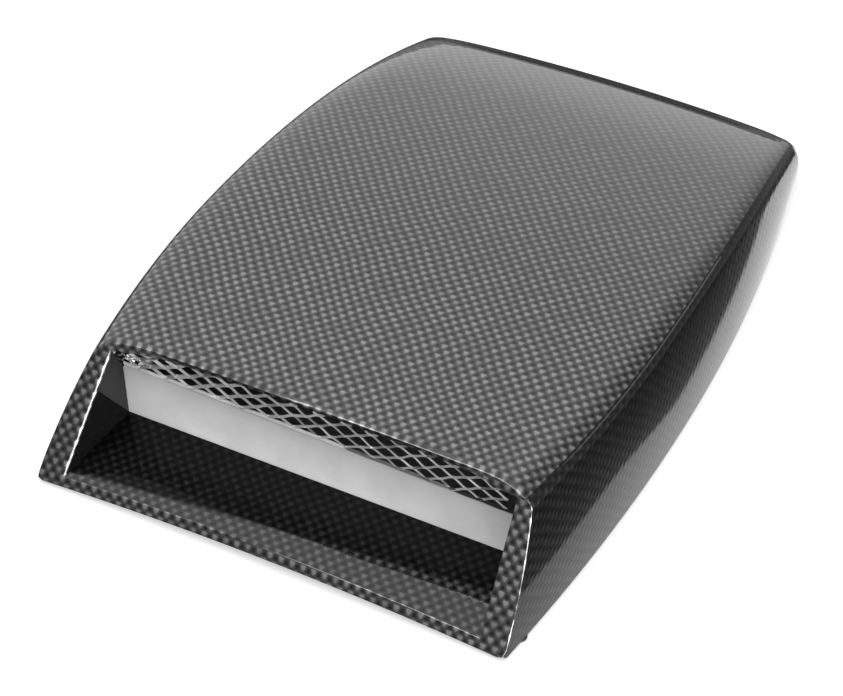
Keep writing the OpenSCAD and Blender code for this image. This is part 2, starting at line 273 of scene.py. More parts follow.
class Net:
    """Short names for making shader nodes."""

    def __init__(self, nt):
        self.nt = nt

    def node(self, kind, **props):
        n = self.nt.nodes.new(kind)
        for k, v in props.items():
            setattr(n, k, v)
        return n

    def put(self, value, socket):
        if isinstance(value, bpy.types.NodeSocket):
            self.nt.links.new(value, socket)
        else:
            socket.default_value = value

    def math(self, op, a, b=0.0, c=None, clamp=False):
        n = self.node("ShaderNodeMath", operation=op, use_clamp=clamp)
        self.put(a, n.inputs[0])
        self.put(b, n.inputs[1])
        if c is not None:
            self.put(c, n.inputs[2])
        return n.outputs[0]

    def mul(self, a, b):
        return self.math("MULTIPLY", a, b)

    def add(self, a, b):
        return self.math("ADD", a, b)

    def sub(self, a, b):
        return self.math("SUBTRACT", a, b)

    def split(self, vector):
        n = self.node("ShaderNodeSeparateXYZ")
        self.put(vector, n.inputs[0])
        return n.outputs

    def mix(self, fac, a, b):
        n = self.node("ShaderNodeMix", data_type="RGBA")
        self.put(fac, n.inputs[0])
        self.put(a, n.inputs[6])
        self.put(b, n.inputs[7])
        return n.outputs[2]

    def mixf(self, fac, a, b):
        n = self.node("ShaderNodeMix", data_type="FLOAT")
        self.put(fac, n.inputs[0])
        self.put(a, n.inputs[2])
        self.put(b, n.inputs[3])
        return n.outputs[0]

    def mix_shader(self, fac, a, b):
        n = self.node("ShaderNodeMixShader")
        for value, socket in zip((fac, a, b), n.inputs):
            self.put(value, socket)
        return n.outputs[0]

    def noise(self, vector, scale, detail=2.0, rough=0.5):
        n = self.node("ShaderNodeTexNoise", noise_dimensions="3D")
        self.put(vector, n.inputs["Vector"])
        n.inputs["Scale"].default_value = scale
        n.inputs["Detail"].default_value = detail
        n.inputs["Roughness"].default_value = rough
        return n.outputs["Fac"]

    def ramp(self, value, lo, hi, out_lo=0.0, out_hi=1.0, smooth=True):
        n = self.node("ShaderNodeMapRange", interpolation_type="SMOOTHSTEP" if smooth else "LINEAR")
        self.put(value, n.inputs["Value"])
        n.inputs["From Min"].default_value = lo
        n.inputs["From Max"].default_value = hi
        n.inputs["To Min"].default_value = out_lo
        n.inputs["To Max"].default_value = out_hi
        return n.outputs["Result"]


def grey(v):
    return (v, v, v, 1.0)


# The weave print, in millimetres: one tow's pitch across and along
WEAVE_X, WEAVE_Y = 2.545, 3.075
# The cloth lies a little askew: rows slant, and columns lean one way in front and the other behind
ROW_SLANT, LEAN_FRONT, LEAN_CURVE, LEAN_AT = 0.04, 0.037, 0.000286, 90.0
WANDER_SCALE, WANDER = 0.022, (3.2, 3.2, 0)
# Half width of a tow's print: at its broad end, and how much it loses along the cell
TOP_HALF, LOW_HALF, TOW_TAPER, TOW_SOFT = 0.25, 0.64, 0.46, (-0.12, 0.4)
CELL_VARY, PATCH_VARY, PATCH_SCALE = 0.7, 0.6, 0.09
STREAK_STRETCH, STREAK = (3.5, 0.9, 1.0), 0.3
CALM_FROM, CALM_TO, CALM = 150.0, 330.0, 0.7
# softness of the painted shade's edge on the throat's floor
PAINTED_SHADE_SOFT = 1.5


def tow_print(g, fb, side, half, taper, start, end):
    """One tow's print in its cell: a tapered patch with soft sides and ends."""
    width = g.sub(g.math("MULTIPLY_ADD", fb, taper, half), side)
    return g.mul(g.ramp(width, *TOW_SOFT), g.mul(g.ramp(fb, *start), g.ramp(fb, *end, 1.0, 0.0)))


def bump_node(g, height, strength, distance):
    bump = g.node("ShaderNodeBump")
    bump.inputs["Strength"].default_value = strength
    bump.inputs["Distance"].default_value = distance
    g.put(height, bump.inputs["Height"])
    return bump.outputs[0]


def weave_material(name, dark, mid, bright, painted_shade_line=None):
    """Printed plain weave under a clear coat. The last argument, if given, is where painted shade starts,
    with the coat thinned, and that line's slant.
    """
    m, nt, out = new_material(name)
    g = Net(nt)
    uv = g.node("ShaderNodeUVMap", uv_map="weave").outputs[0]
    # slow wander of the cloth, so that no row runs dead straight
    wander = g.node("ShaderNodeTexNoise", noise_dimensions="2D")
    g.put(uv, wander.inputs["Vector"])
    wander.inputs["Scale"].default_value = WANDER_SCALE
    wander.inputs["Detail"].default_value = 2.0
    shift = g.node("ShaderNodeVectorMath", operation="MULTIPLY_ADD")
    g.put(wander.outputs["Color"], shift.inputs[0])
    shift.inputs[1].default_value = WANDER
    g.put(uv, shift.inputs[2])
    x, y, _ = g.split(shift.outputs[0])
    ahead = g.sub(y, LEAN_AT)
    lean = g.mul(ahead, g.math("MULTIPLY_ADD", ahead, -LEAN_CURVE, LEAN_FRONT))
    a = g.math("DIVIDE", g.add(x, lean), WEAVE_X)
    b = g.math("DIVIDE", g.math("MULTIPLY_ADD", x, -ROW_SLANT, y), WEAVE_Y)
    ia, ib = g.math("FLOOR", a), g.math("FLOOR", b)
    fa, fb = g.sub(a, ia), g.sub(b, ib)
    over = g.math("PINGPONG", g.add(ia, ib), 1.0)
    # the checker of tows is the print; a tow on top is broad and bright towards the rear, as a painted
    # highlight, and a tow below is broad and dark towards the front, as painted shade
    side = g.math("ABSOLUTE", g.sub(fa, 0.5))
    top = tow_print(g, fb, side, TOP_HALF, TOW_TAPER, (-0.1, 0.5), (0.7, 1.02))
    low = tow_print(g, fb, side, LOW_HALF, -TOW_TAPER, (-0.05, 0.3), (0.5, 1.05))
    # one random number for each crossing, and a slow one for each patch of cloth
    cell = g.node("ShaderNodeCombineXYZ")
    g.put(ia, cell.inputs[0])
    g.put(ib, cell.inputs[1])
    rnd = g.node("ShaderNodeTexWhiteNoise", noise_dimensions="2D")
    g.put(cell.outputs[0], rnd.inputs["Vector"])
    patch = g.noise(uv, PATCH_SCALE, 2.0)
    vary = g.add(g.mul(g.sub(rnd.outputs["Value"], 0.5), CELL_VARY), g.mul(g.sub(patch, 0.5), PATCH_VARY))
    light = g.math("MULTIPLY", g.mul(over, top), g.add(vary, 1.0), clamp=True)
    dip = g.mul(g.sub(1.0, over), low)
    color = g.mix(light, g.mix(dip, grey(mid), grey(dark)), grey(bright))
    # filaments along each tow
    fine = g.node("ShaderNodeMapping")
    g.put(uv, fine.inputs["Vector"])
    fine.inputs["Scale"].default_value = STREAK_STRETCH
    streak = g.noise(fine.outputs[0], 1.0, 2.0)
    color = g.mix(g.ramp(streak, 0.4, 0.7, 0.0, STREAK), color, grey(dark))
    # the print is fainter towards the rear
    calm = g.ramp(y, CALM_FROM, CALM_TO, 0.0, CALM, smooth=False)
    color = g.mix(calm, color, grey(0.3 * bright + 0.1 * mid))
    height = g.sub(light, dip)
    s = g.node("ShaderNodeBsdfPrincipled")
    s.inputs["Metallic"].default_value = 1.0
    s.inputs["Roughness"].default_value = 0.42
    g.put(bump_node(g, height, 0.3, 0.0002), s.inputs["Normal"])
    s.inputs["Coat Roughness"].default_value = 0.03
    s.inputs["Coat IOR"].default_value = 1.5
    # the lacquer's own surface follows the cloth a little, over slow waves
    lacquer = g.add(height, g.mul(g.noise(uv, 0.25, 2.0), 1.5))
    g.put(bump_node(g, lacquer, 0.07, 0.0001), s.inputs["Coat Normal"])
    if painted_shade_line is None:
        g.put(color, s.inputs["Base Color"])
        s.inputs["Coat Weight"].default_value = 1.0
    else:
        # painted shade behind a slanting line across the throat's floor: the colour is darkened and the coat
        # thinned, standing in for the roof's front edge shading the floor and cutting off its reflection
        at, slant = painted_shade_line
        u, v, _ = g.split(uv)
        painted_shade = g.ramp(g.math("MULTIPLY_ADD", u, -slant, v), at - PAINTED_SHADE_SOFT, at + PAINTED_SHADE_SOFT)
        g.put(g.mix(painted_shade, color, g.mix(0.8, color, grey(0.002))), s.inputs["Base Color"])
        g.put(g.sub(1.0, g.mul(painted_shade, 0.85)), s.inputs["Coat Weight"])
    nt.links.new(s.outputs[0], out.inputs[0])
    return m


def plain_material(name, color, rough, metallic=0.0, bump_scale=0.0, bump_depth=0.0, vary=0.0):
    m, nt, out = new_material(name)
    g = Net(nt)
    s = g.node("ShaderNodeBsdfPrincipled")
    where = g.node("ShaderNodeTexCoord").outputs["Object"]
    if vary:
        n = g.noise(where, 90.0, 3.0)
        tone = g.mix(g.ramp(n, 0.3, 0.7), grey(color * (1 - vary)), grey(color * (1 + vary)))
        g.put(tone, s.inputs["Base Color"])
    else:
        s.inputs["Base Color"].default_value = grey(color)
    s.inputs["Roughness"].default_value = rough
    s.inputs["Metallic"].default_value = metallic
    if bump_scale:
        g.put(bump_node(g, g.noise(where, bump_scale, 3.0), 0.5, bump_depth), s.inputs["Normal"])
    nt.links.new(s.outputs[0], out.inputs[0])
    return m


def sheet_material(name):
    """Bare aluminium with painted shade: darker towards its top, where it runs into the cells under the roof,
    and a painted shadow line just below the cells' border.
    """
    m, nt, out = new_material(name)
    g = Net(nt)
    where = g.node("ShaderNodeTexCoord").outputs["Object"]
    x, _, z = g.split(where)
    rise = g.math("MULTIPLY_ADD", x, MESH_CLIMB, z)
    # painted shade: darker towards the top, under the roof's front edge
    tone = g.ramp(rise, 0.010, 0.034, 0.98, 0.5, smooth=False)
    # painted shadow of the cells' border, a thin darker line just below it
    tone = g.mul(tone, g.ramp(rise, 0.0325, 0.0342, 1.0, 0.72))
    tone = g.mul(tone, g.ramp(g.noise(where, 60.0, 3.0), 0.3, 0.7, 0.95, 1.05))
    shade = g.node("ShaderNodeCombineXYZ")
    for socket in shade.inputs:
        g.put(tone, socket)
    s = g.node("ShaderNodeBsdfPrincipled")
    g.put(shade.outputs[0], s.inputs["Base Color"])
    s.inputs["Roughness"].default_value = 0.5
    nt.links.new(s.outputs[0], out.inputs[0])
    return m


CARBON = weave_material("carbon_weave", dark=0.01, mid=0.065, bright=0.27)
# a darker copy of the same weave: painted shade on the walls, the right shoulder and along the roof's rear
# edge
WEAVE_PAINTED_SHADE = weave_material("side_weave_painted_shade", dark=0.003, mid=0.01, bright=0.03)
# a darker copy of the weave for the throat's floor: painted shade under the roof's front edge
RAMP = weave_material("throat_weave_painted_shade", dark=0.004, mid=0.024, bright=0.1, painted_shade_line=(-8.0, 0.1))
# the throat's walls are near-black gloss without the weave: painted shade inside the throat
THROAT = plain_material("throat_gloss_painted_shade", 0.01, 0.04)
INSIDE = plain_material("black_plastic", 0.02, 0.5, bump_scale=900.0, bump_depth=0.0001, vary=0.1)
METAL = sheet_material("bare_aluminium_painted_shade")
BORDER = plain_material("mesh_border", 0.78, 0.4, metallic=0.2, vary=0.12)
STRAND = plain_material("mesh_strands", 0.5, 0.3, metallic=0.75, vary=0.2)
FOAM = plain_material("foam_tape", 0.018, 0.95, bump_scale=2600.0, bump_depth=0.0002, vary=0.2)

# The moulding
HEAD_X = CREASE_FRONT_W / 2 - POST_HEAD
FOOT_X = FRONT_W / 2 - POST_FOOT
HEAD_Z = float(roof_z(np.array(HEAD_X), np.array(MOUTH_SET))) - WALL_T
# Roundings of the mouth: outer edges, each run of the opening (left post, head, right post, lip), the roof's
# bead, and how thin the roof ends. CORNER_IN cuts the raked face's lower corners.
EDGE_R_OUT, HOLE_R, BEAD, ROOF_EDGE, HEAD_BEVEL = 0.8, (2.0, 0.3, 0.35, 0.15), 2.6, 1.9, 1.4
CORNER_IN = 3.0
LIP_N = 120
# How far the inside of the moulding stays behind the mouth's raked plane
IN_ROOF_BACK, IN_WALL_BACK, RIM_IN_BACK, RIM_OUT_BACK = 2.6, 1.9, 2.4, 1.6


def lip_rise(x):
    return LIP_ARCH * (1 - (2 * x / FRONT_W) ** 2)


skin = Skin()
grid = roof_grid()
rings = edge_rings()

# The roof swells a little before its rear edge and steepens after it, so the edge shows as a dark band; from
# EDGE_ROW back that band is also painted shade, in the darker weave
HUMP_ROWS = [95, 110, 130, 146, 147, 149, 150, ROWS]
HUMP_Z = [0, 0.3, 1.1, 1.5, 1.4, 0.6, 0.1, -0.3]
EDGE_ROW = 147


def hump(r, u):
    """Swell of the roof at a row: it fades to nothing at the sides, but a dip doesn't."""
    z = np.interp(r, HUMP_ROWS, HUMP_Z)
    return np.where(z > 0, z * (1 - np.abs(u) ** 3), z)


grid[..., 2] += hump(np.arange(ROWS + 1)[:, None], col_u(np.arange(COLS + 1))[None])
rings[..., 2] += hump(EDGE_R, EDGE_U)[None] * (1 - np.linspace(0, 1, EDGE_STEPS + 1))[:, None]

# Weave coordinates: the roof is seen in plan and the walls unroll outwards from it
plan_out = unit(np.stack([EDGE_U * np.where(EDGE_R <= SIDE_ROWS, 1.0, np.cos(row_turn(EDGE_R))),
                          np.where(EDGE_R <= SIDE_ROWS, 0.0, np.sin(row_turn(EDGE_R))) + 0 * EDGE_U], -1))
ring_uv = rings[0][None, :, :2] + plan_out[None] * along(rings)[..., None]
grid_uv = grid[..., :2]

# Front edge path, from the left base over the roof to the right base
left = rings[::-1, 0]
right = rings[:, -1]
path = np.concatenate([left[:-1], grid[0], right[1:]])
path_uv = np.concatenate([ring_uv[::-1, 0][:-1], grid_uv[0], ring_uv[:, -1][1:]])
nxt = np.concatenate([rings[::-1, 1][:-1], grid[1], rings[:, -2][1:]])
nxt_uv = np.concatenate([ring_uv[::-1, 1][:-1], grid_uv[1], ring_uv[:, -2][1:]])
for end, sign in ((0, -1), (-1, 1)):
    path[end] = [sign * (FRONT_W / 2 - 0.3 * CORNER_IN), RAKE * 0.3 * CORNER_IN, 0.3 * CORNER_IN]
gap = np.linalg.norm(nxt - path, axis=-1, keepdims=True)
n_side = EDGE_STEPS
on_roof = np.zeros((len(path), 1), bool)
on_roof[n_side + 3:n_side + COLS - 2] = True
# the rounding of the side edges is uneven, so their highlight comes and goes
edge_r = EDGE_R_OUT * (0.1 + 1.1 * rng.random((len(path), 1)) ** 2)
edge_r = np.where(on_roof, BEAD, edge_r)
pull = np.minimum(edge_r / gap, 0.95)
back = path + (nxt - path) * pull
back_uv = path_uv + (nxt_uv - path_uv) * pull
rings[:, 0] = back[:n_side + 1][::-1]
rings[:, -1] = back[-n_side - 1:]
ring_uv[:, 0] = back_uv[:n_side + 1][::-1]
ring_uv[:, -1] = back_uv[-n_side - 1:]
grid[0] = back[n_side:n_side + COLS + 1]
grid_uv = grid_uv.copy()
grid_uv[0] = back_uv[n_side:n_side + COLS + 1]
IS_CARBON, IS_THROAT, IS_RAMP, IS_WEAVE_PAINTED_SHADE = range(4)
# the roof's rows from EDGE_ROW back get the darker weave: painted shade along its rear edge
skin.grid(grid, grid_uv, np.where(np.arange(ROWS) < EDGE_ROW, IS_CARBON, IS_WEAVE_PAINTED_SHADE)[:, None])
# painted shade: the right shoulder and the rear get the darker weave, while the left shoulder still shows the
# roof's weave
on_shoulder = (np.arange(EDGE_N - 1) < ROWS - 6)[None] & (np.arange(EDGE_STEPS) < 4)[:, None]
skin.grid(rings, ring_uv, np.where(on_shoulder, IS_CARBON, IS_WEAVE_PAINTED_SHADE))

# The closed front ring: path, then the lip's lower edge from right to left
lx = np.linspace(FRONT_W / 2 - CORNER_IN, -FRONT_W / 2 + CORNER_IN, LIP_N)
lz = lip_rise(lx)
low = np.stack([lx, RAKE * lz, lz], -1)
low_back = low + [0, 1.0, 0]
outer = np.concatenate([path, low])
outer_back = np.concatenate([back, low_back])
n_path, n_low = len(path), len(low)

# Opening, point by point beside the outer ring
post_q = np.linspace(0, 1, n_side + 1)[:-1]
foot_z = LIP_H + float(lip_rise(FOOT_X))
post_l = np.stack([-(FOOT_X + (HEAD_X - FOOT_X) * post_q), 0 * post_q,
                   foot_z + (HEAD_Z - foot_z) * post_q], -1)
head_u = np.linspace(-1, 1, COLS + 1)
head_x = head_u * HEAD_X
head = np.stack([head_x, 0 * head_x, roof_z(head_x, np.full_like(head_x, MOUTH_SET)) - WALL_T], -1)
post_r = (post_l * [-1, 1, 1])[::-1]
top_x = lx * FOOT_X / (FRONT_W / 2 - CORNER_IN) * 0.999
lip_top = np.stack([top_x, 0 * top_x, LIP_H + lip_rise(top_x)], -1)
hole = np.concatenate([post_l, head, post_r, lip_top])
hole[:, 1] = RAKE * hole[:, 2]
# the roof's own front edge is square to the roof and thin; it turns into the raked face at the posts
roof_edge = path[n_side:n_side + COLS + 1]
into = np.clip((np.abs(head_u) - 0.9) / 0.1, 0, 1)[:, None]
into = into * into * (3 - 2 * into)
thin = np.stack([head_x, roof_edge[:, 1] + 0.1, roof_edge[:, 2] - ROOF_EDGE], -1)
hole[n_side:n_side + COLS + 1] = thin * (1 - into) + hole[n_side:n_side + COLS + 1] * into
LEFT_POST, HEAD, RIGHT_POST, LIP = range(4)
part_id = np.repeat([LEFT_POST, HEAD, RIGHT_POST, LIP], [n_side, COLS + 1, n_side, n_low])
on_head = part_id[:, None] == HEAD

# Rear of the throat, at the insert
throat_foot = FOOT_X - THROAT_TAPER * 2
throat_head = HEAD_X - THROAT_TAPER * 0.5
rear_l = np.stack([-(throat_foot + (throat_head - throat_foot) * post_q), 0 * post_q + THROAT_D,
                   FLOOR_REAR_H + (HEAD_Z - FLOOR_REAR_H) * post_q], -1)
rear_head = np.stack([head_x * throat_head / HEAD_X, 0 * head_x + THROAT_D + 2.5, 0 * head_x], -1)
rear_head[:, 2] = roof_z(rear_head[:, 0], rear_head[:, 1]) - WALL_T
rear_r = (rear_l * [-1, 1, 1])[::-1]
rear_low = np.stack([top_x * throat_foot / FOOT_X, 0 * top_x + THROAT_D, 0 * top_x + FLOOR_REAR_H], -1)
rear = np.concatenate([rear_l, rear_head, rear_r, rear_low])


def closed(rows):
    """Each row of a grid with its first point again at its end."""
    return np.concatenate([rows, rows[:, :1]], 1)


def ring_tangent(a):
    return unit(np.roll(a, -1, 0) - np.roll(a, 1, 0))


FRONT_N = np.array([0, -1, RAKE]) / SLOPE
# directions in the raked plane, from the outer edge towards the hole
inward = unit(np.cross(FRONT_N, ring_tangent(outer)))
toward = hole - outer
inward *= np.sign((inward * toward).sum(-1, keepdims=True))
inward = np.where(on_head, unit(toward), inward)
side_r = np.concatenate([edge_r, np.full((n_low, 1), EDGE_R_OUT)])
face_out = outer + inward * np.where(on_head, HEAD_BEVEL, side_r)
outward = unit(np.cross(FRONT_N, ring_tangent(hole)))
outward *= np.sign((outward * (outer - hole)).sum(-1, keepdims=True))
outward = np.where(on_head, -inward, outward)
r_in = np.array(HOLE_R)[part_id][:, None]
face_in = hole + outward * r_in
tube_first = hole + unit(rear - hole) * r_in

face_q = np.linspace(0, 1, 5)[:, None, None]
face = face_out[None] * (1 - face_q) + face_in[None] * face_q


def face_uv(p):
    """Weave coordinates on the raked face, running on from the roof's front edge."""
    return np.stack([p[..., 0], CREASE_FIRST - (ROOF_H - p[..., 2]) * SLOPE], -1)


for band in (bez(outer_back, outer, face_out, 5), face, bez(face_in, hole, tube_first, 6)):
    skin.grid(closed(band), closed(face_uv(band)))
tube_q = np.linspace(0, 1, 13)[:, None, None]
tube = tube_first[None] * (1 - tube_q) + rear[None] * tube_q
run = along(tube)
base_uv = face_uv(tube_first)
tube_uv = np.empty(tube.shape[:2] + (2,))
side_dir = np.where(part_id == LEFT_POST, 1.0, -1.0)
for j in range(4):
    at = part_id == j
    if j in (LEFT_POST, RIGHT_POST):
        tube_uv[:, at, 0] = base_uv[None, at, 0] + side_dir[None, at] * run[:, at]
        tube_uv[:, at, 1] = base_uv[None, at, 1]
    else:
        tube_uv[:, at, 0] = tube[:, at, 0]
        tube_uv[:, at, 1] = base_uv[None, at, 1] + run[:, at]
skin.grid(closed(tube), closed(tube_uv), np.where(part_id == LIP, IS_RAMP, IS_THROAT)[None])
shell = skin.build("scoop_skin", [CARBON, THROAT, RAMP, WEAVE_PAINTED_SHADE])
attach(shell, "root")
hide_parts("scoop_shell")

# Inside of the moulding, its rim and the back of the throat
inner = Skin()
in_grid, in_rings = roof_grid(WALL_T), edge_rings(WALL_T, RIM_T)
in_grid[0, :, 1] += IN_ROOF_BACK
in_rings[:, [0, -1], 1] += IN_WALL_BACK
rim = np.stack([rings[-1], base_pt(EDGE_R, EDGE_U, RIM_W, 0.0),
                base_pt(EDGE_R, EDGE_U, RIM_W, RIM_T), in_rings[-1]])
for end in (0, -1):
    rim[1:3, end, 1] += RIM_IN_BACK
    rim[0, end, 1] += RIM_OUT_BACK
    rim[3, end, 1] = rim[0, end, 1]
inner.grid(in_grid[1:, ::4], in_grid[1:, ::4, :2], flip=True)
inner.grid(in_rings[::2], in_rings[::2, :, :2], flip=True)
inner.grid(rim, rim[..., :2])
# the back of the raked face and of the throat: which way each run of the throat's wall is thick
behind = outer + inward * 2.2 - FRONT_N * WALL_T
behind[:, 2] = np.maximum(behind[:, 2], 0.0)
grow = np.array([[-THROAT_T, 0, 0], [0, 0, 0.6], [THROAT_T, 0, 0], [0, 0, -THROAT_T]])[part_id]
rear_ring = closed(np.stack([behind, hole + grow - FRONT_N * WALL_T * 0.8, rear + grow, rear]))
lip_under = np.stack([low_back, behind[n_path:]])
for band in (rear_ring, lip_under):
    inner.grid(band, band[..., :2])
inside = inner.build("scoop_inside", [INSIDE], smooth_angle=30.0)
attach(inside, "root")


# The expanded metal insert
# Diamonds: pitch along the sheet, half a diamond's rise, rows of strands, and the sheet's half width
PITCH, HALF, STRAND_ROWS = 12.2, 3.05, 6
INS_HW = throat_head + 2.0
BONDS_OUT = int(INS_HW // PITCH) + 2
END_GAP = 1.5
TILT_RISING, TILT_FALLING, BROAD_RISING, BROAD_FALLING, STRAND_T = 37, 72, 0.52, 0.42, 0.2


def mesh_line(x):
    """Height of the lower border of the cells: it climbs to the left."""
    return FLOOR_REAR_H + MARGIN_H - MESH_CLIMB * x


def solid_strip(s, centre, wide, thick, mat=0):
    """A closed bar along a row of centre points, with a four-cornered section given by two half vectors."""
    c, w, t = (np.asarray(v, float) for v in (centre, wide, thick))
    sect = np.stack([c - w - t, c + w - t, c + w + t, c - w + t, c - w - t])
    s.grid(sect, np.zeros(sect.shape[:2] + (2,)), mat)
    for e in (0, -1):
        q = np.stack([[sect[0, e], sect[1, e]], [sect[3, e], sect[2, e]]])
        s.grid(q, np.zeros((2, 2, 2)), mat)


# the plain margin: a slightly bent sheet with a rounded upper left corner
MARGIN_R = 5.0
margin = Skin()
mx = np.linspace(-INS_HW + 1.2, INS_HW, 90)
dx = np.clip(MARGIN_R - (mx - mx[0]), 0, MARGIN_R)
top = mesh_line(mx) - 0.3 - (MARGIN_R - np.sqrt(np.maximum(MARGIN_R ** 2 - dx ** 2, 0)))
bottom = np.full_like(mx, FLOOR_REAR_H - THROAT_T)
lift = np.linspace(0, 1, 14)[:, None]
mz = bottom[None] * (1 - lift) + top[None] * lift
bend = 0.25 * np.sin(mx / 31.0)[None] * lift ** 2
front = np.stack([np.broadcast_to(mx, mz.shape), THROAT_D + 0.15 + bend, mz], -1)
rear_face = front + [0, SHEET_T * 0.6, 0]
margin.grid(front, front[..., [0, 2]])
margin.grid(rear_face, front[..., [0, 2]], flip=True)
for near, far in ((front[-1], rear_face[-1]), (rear_face[0], front[0]),
                  (front[:, 0], rear_face[:, 0]), (rear_face[:, -1], front[:, -1])):
    margin.grid(np.stack([near, far]), np.zeros((2, len(near), 2)))
plate = margin.build("insert_margin", [METAL], smooth_angle=40.0)
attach(plate, "root")

# cells: bonds on a lattice, joined by flat strands that are turned out of the sheet
net = Skin()


def damage(x):
    """0 over most of the insert, up to 1 where its left end is crumpled."""
    return np.clip((-x - 62.0) / 28.0, 0, 1)


def bond(i, j):
    """Centre of the bond i columns along and j half rows up."""
    x = (i + 0.5 * (j % 2)) * PITCH + 2.5
    z = mesh_line(x) + 0.7 + HALF * j
    k = damage(x)
    local = np.random.default_rng(abs(int(i * 131 + j * 17)) + 5)
    jitter = local.normal(0, 1, 3) * [0.25, 0.12, 0.25] * (1 + 4 * k)
    y = THROAT_D - 0.25 - 1.1 * k * (j + 0.4) * 0.5
    return np.array([x, y, z]) + jitter


for j in range(STRAND_ROWS):
    for i in range(-BONDS_OUT, BONDS_OUT + 1):
        p = bond(i, j)
        if abs(p[0]) > INS_HW - END_GAP:
            continue
        for side in (0, 1):
            q = bond(i + (side if j % 2 else side - 1), j + 1)
            if abs(q[0]) > INS_HW - END_GAP:
                continue
            limit = float(roof_z(np.array(q[0]), np.array(THROAT_D))) - WALL_T - 0.2
            if p[2] > limit:
                continue
            t = np.linspace(0, 1, 9)
            ease = t * t * (3 - 2 * t)
            c = p[None] * (1 - t)[:, None] + q[None] * t[:, None]
            c[:, 2] = p[2] + (q[2] - p[2]) * (0.35 * t + 0.65 * ease)
            keep = c[:, 2] < limit + 0.4
            if keep.sum() < 2:
                continue
            c = c[keep]
            rising = q[0] > p[0]
            tilt = math.radians((TILT_RISING if rising else TILT_FALLING) + 6 * rng.normal())
            broad = BROAD_RISING if rising else BROAD_FALLING
            # strands show broader towards the left
            broad *= 1 + 0.9 * min(max((10 - p[0]) / 90, 0), 1)
            wide = np.array([0.0, math.cos(tilt), math.sin(tilt)]) * broad
            thick = np.array([0.0, -math.sin(tilt), math.cos(tilt)]) * STRAND_T
            solid_strip(net, c, wide, thick)
# border of the cells, a little proud of the margin: bright at the left, dull in the middle, dark at the right
IS_STRAND, IS_BORDER, IS_DARK = range(3)
DULL_FROM, DARK_FROM = 15.0, 62.0
for first, last, mat in ((-INS_HW + 3.5, DULL_FROM, IS_BORDER), (DULL_FROM, DARK_FROM, IS_STRAND),
                         (DARK_FROM, INS_HW - 0.5, IS_DARK)):
    bx = np.linspace(first, last, 80)
    wave = 0.3 * np.sin(bx / 5.1) * damage(bx) + 0.12 * np.sin(bx / 2.3)
    border = np.stack([bx, THROAT_D - 0.35 - 0.5 * damage(bx), mesh_line(bx) + 0.35 + wave], -1)
    solid_strip(net, border, [0, -0.1, 0.75], [0, 0.28, 0.05], mat)
# crumpled ends of cut strands at the left
for n in range(16):
    start = np.array([-INS_HW + rng.uniform(1.5, 9.0), THROAT_D - rng.uniform(0.4, 2.2),
                      rng.uniform(38.0, 46.0)])
    stop = start + [rng.uniform(-2.5, 4.5), rng.uniform(-0.8, 0.8), rng.uniform(-2.2, 2.2)]
    kink = (start + stop) / 2 + rng.normal(0, 0.6, 3) * [1, 0.4, 1]
    c = bez(start[None], kink[None], stop[None], 5)[:, 0]
    c[:, 0] = np.maximum(c[:, 0], -INS_HW + 0.5)
    solid_strip(net, c, [0.0, -0.25, 0.35], [0.0, 0.18, 0.12])
cells_obj = net.build("insert_cells", [STRAND, BORDER, INSIDE], smooth_angle=30.0)
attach(cells_obj, "root")
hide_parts("mesh_grille")

# Foam tape
# the right strip's front end sticks out a little beyond the moulding
tab = Skin()
tab_d = np.linspace(12.6, 17.6, 9)
swell = np.sin(np.linspace(0.25, math.pi - 0.02, 9)) ** 0.6
edge_x = base_hw(tab_d) - 0.9 + 1.6 * swell
root_x = np.full_like(edge_x, edge_x.min() - 1.5)
tab_top, tab_foot = -0.05, -1.08
corners = ((root_x, tab_top), (edge_x - 0.3, tab_top), (edge_x, -0.35), (edge_x, -0.8),
           (edge_x - 0.3, tab_foot), (root_x, tab_foot), (root_x, tab_top))
tab_sect = np.stack([np.stack([x, tab_d, z + 0 * tab_d], -1) for x, z in corners])
tab.grid(tab_sect, np.zeros((7, 9, 2)))
for end in (0, -1):
    tab.grid(tab_sect[[[0, 1, 2], [5, 4, 3]], end], np.zeros((2, 3, 2)), flip=end == 0)
tab_obj = tab.build("tape_right_end", [FOAM], smooth_angle=60.0)
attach(tab_obj, "root")
for name in ("tape_left", "tape_right", "tape_rear"):
    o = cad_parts[name]
    o.data.materials.clear()
    o.data.materials.append(FOAM)

# Floor, light and camera
# Paper tones: lit, painted shade under the moulding, and its own glow towards the camera
PAPER, PAPER_PAINTED_SHADE, PAPER_GLOW = 0.8, 0.3, 0.42


